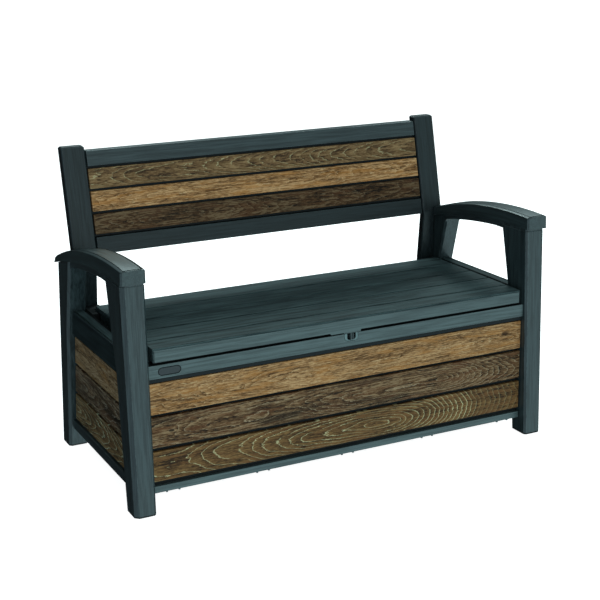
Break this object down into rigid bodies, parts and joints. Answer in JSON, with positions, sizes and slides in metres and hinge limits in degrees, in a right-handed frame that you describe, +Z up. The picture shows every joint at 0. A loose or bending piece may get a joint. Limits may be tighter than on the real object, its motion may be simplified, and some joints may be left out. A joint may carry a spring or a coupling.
{
  "type": "storage bench",
  "caption": "Garden storage bench in graphite resin with timber-look boards, arched arm rests, a leaning backrest and a hinged seat lid over a storage box",
  "frame": {"origin": "on the floor, at the middle of the footprint of the whole bench", "axes": "+X along the length to the right of a person facing the front, front towards -Y, +Z up"},
  "size_m": [1.33, 0.652, 0.91],
  "materials": {
    "frame_resin": "graphite resin with a fine brushed wood grain",
    "lid_resin": "darker graphite resin with a fine wood grain",
    "badge": "satin plate",
    "steel": "zinc plated",
    "wood_golden": "timber-look board, golden brown",
    "wood_dark": "timber-look board, dark brown",
    "wood_russet": "timber-look board, medium brown with pale grain",
    "wood_walnut": "timber-look board, grey brown"
  },
  "bodies": {
    "bench": {"back_board_bottom": "wood_dark", "back_board_middle": "wood_golden", "back_board_top": "wood_walnut", "back_bottom_rail": "frame_resin", "back_panel": "frame_resin", "back_top_rail": "frame_resin", "badge_plate": "badge", "box_hasp": "frame_resin", "floor_panel": "frame_resin", "front_board_bottom": "wood_russet", "front_board_middle": "wood_dark", "front_board_top": "wood_golden", "front_bottom_rail": "frame_resin", "front_fascia_left": "frame_resin", "front_fascia_right": "frame_resin", "front_liner": "frame_resin", "front_top_rail": "frame_resin", "left_arm_beam": "frame_resin", "left_arm_cap": "frame_resin", "left_back_stile": "frame_resin", "left_front_leg": "frame_resin", "left_hinge_bracket": "frame_resin", "left_hinge_pin": "steel", "left_lid_rest": "frame_resin", "left_rear_leg": "frame_resin", "left_side_board_bottom": "wood_russet", "left_side_board_middle": "wood_dark", "left_side_board_top": "wood_golden", "left_side_bottom_rail": "frame_resin", "left_side_liner": "frame_resin", "left_side_top_rail": "frame_resin", "left_stile_bolt_lower": "steel", "left_stile_bolt_upper": "steel", "padlock_housing": "frame_resin", "rear_panel": "frame_resin", "rear_top_rail": "frame_resin", "right_arm_beam": "frame_resin", "right_arm_cap": "frame_resin", "right_back_stile": "frame_resin", "right_front_leg": "frame_resin", "right_hinge_bracket": "frame_resin", "right_hinge_pin": "steel", "right_lid_rest": "frame_resin", "right_rear_leg": "frame_resin", "right_side_board_bottom": "wood_russet", "right_side_board_middle": "wood_dark", "right_side_board_top": "wood_golden", "right_side_bottom_rail": "frame_resin", "right_side_liner": "frame_resin", "right_side_top_rail": "frame_resin", "right_stile_bolt_lower": "steel", "right_stile_bolt_upper": "steel"},
    "lid": {"left_hinge_lug": "frame_resin", "lid": "lid_resin", "lid_hasp": "frame_resin", "right_hinge_lug": "frame_resin"}
  },
  "joints": [
    {"name": "lid_hinge", "type": "hinge", "parent": "bench", "child": "lid", "pos_m": [0, 0.15, 0.432], "axis": [-1, 0, 0], "range_deg": [0, 97]}
  ]
}
